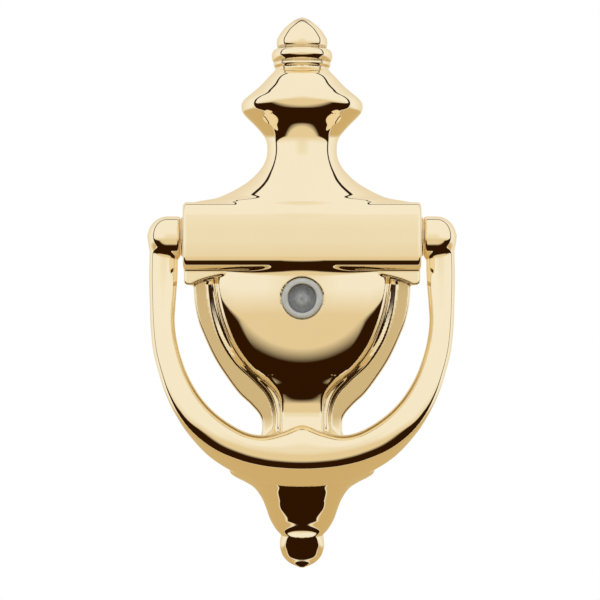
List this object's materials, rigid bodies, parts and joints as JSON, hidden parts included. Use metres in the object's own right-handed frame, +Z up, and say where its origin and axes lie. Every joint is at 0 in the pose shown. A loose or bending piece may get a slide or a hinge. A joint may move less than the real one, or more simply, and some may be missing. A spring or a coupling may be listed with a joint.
{
  "type": "door knocker",
  "caption": "Urn-shaped brass door knocker: back plate with hinge barrel and anvil, swinging bail, door viewer with a covered eyepiece, and fixings for a door.",
  "frame": {"origin": "on the flat back of the plate, which lies on the door's outside face, on the centre line and level with the hinge axis", "axes": "+Z up along the plate, +Y into the door (the plate's back face looks along it), the front faces -Y, +X to the right seen from outside"},
  "size_m": [0.1056, 0.0843, 0.1908],
  "materials": {
    "polished_brass": "mirror-polished forged brass, lacquered",
    "plain_brass": "turned brass, satin",
    "steel": "ground steel pin",
    "black_steel": "blackened steel",
    "chrome": "satin nickel-chrome plate on turned brass",
    "lens_glass": "polished optical glass"
  },
  "bodies": {
    "plate": {"back_plate": "polished_brass", "hinge_pin_right": "steel", "hinge_pin_left": "steel", "hinge_washer_right": "polished_brass", "hinge_washer_left": "polished_brass", "hinge_set_screw_right": "black_steel", "hinge_set_screw_left": "black_steel", "strike_button": "polished_brass", "fixing_screw_upper": "plain_brass", "fixing_screw_lower": "plain_brass", "finish_washer_upper": "plain_brass", "finish_washer_lower": "plain_brass", "viewer_outer_tube": "chrome", "viewer_objective_lens": "lens_glass", "viewer_front_spacer": "black_steel", "viewer_middle_lens": "lens_glass", "viewer_rear_spacer": "black_steel", "viewer_rear_lens": "lens_glass", "viewer_clamp_ring": "black_steel", "viewer_inner_tube": "chrome", "viewer_eyepiece_lens": "lens_glass", "viewer_eyepiece_ring": "black_steel", "viewer_cover_rivet": "chrome"},
    "bail": {"bail": "polished_brass"},
    "cover": {"viewer_cover": "chrome"}
  },
  "joints": [
    {"name": "bail_swing", "type": "hinge", "parent": "plate", "child": "bail", "pos_m": [0, -0.014, 0], "axis": [-1, 0, 0], "range_deg": [0, 160]},
    {"name": "viewer_cover_swing", "type": "hinge", "parent": "plate", "child": "cover", "pos_m": [0, 0.0473, -0.0132], "axis": [0, 1, 0], "range_deg": [-100, 100]}
  ]
}
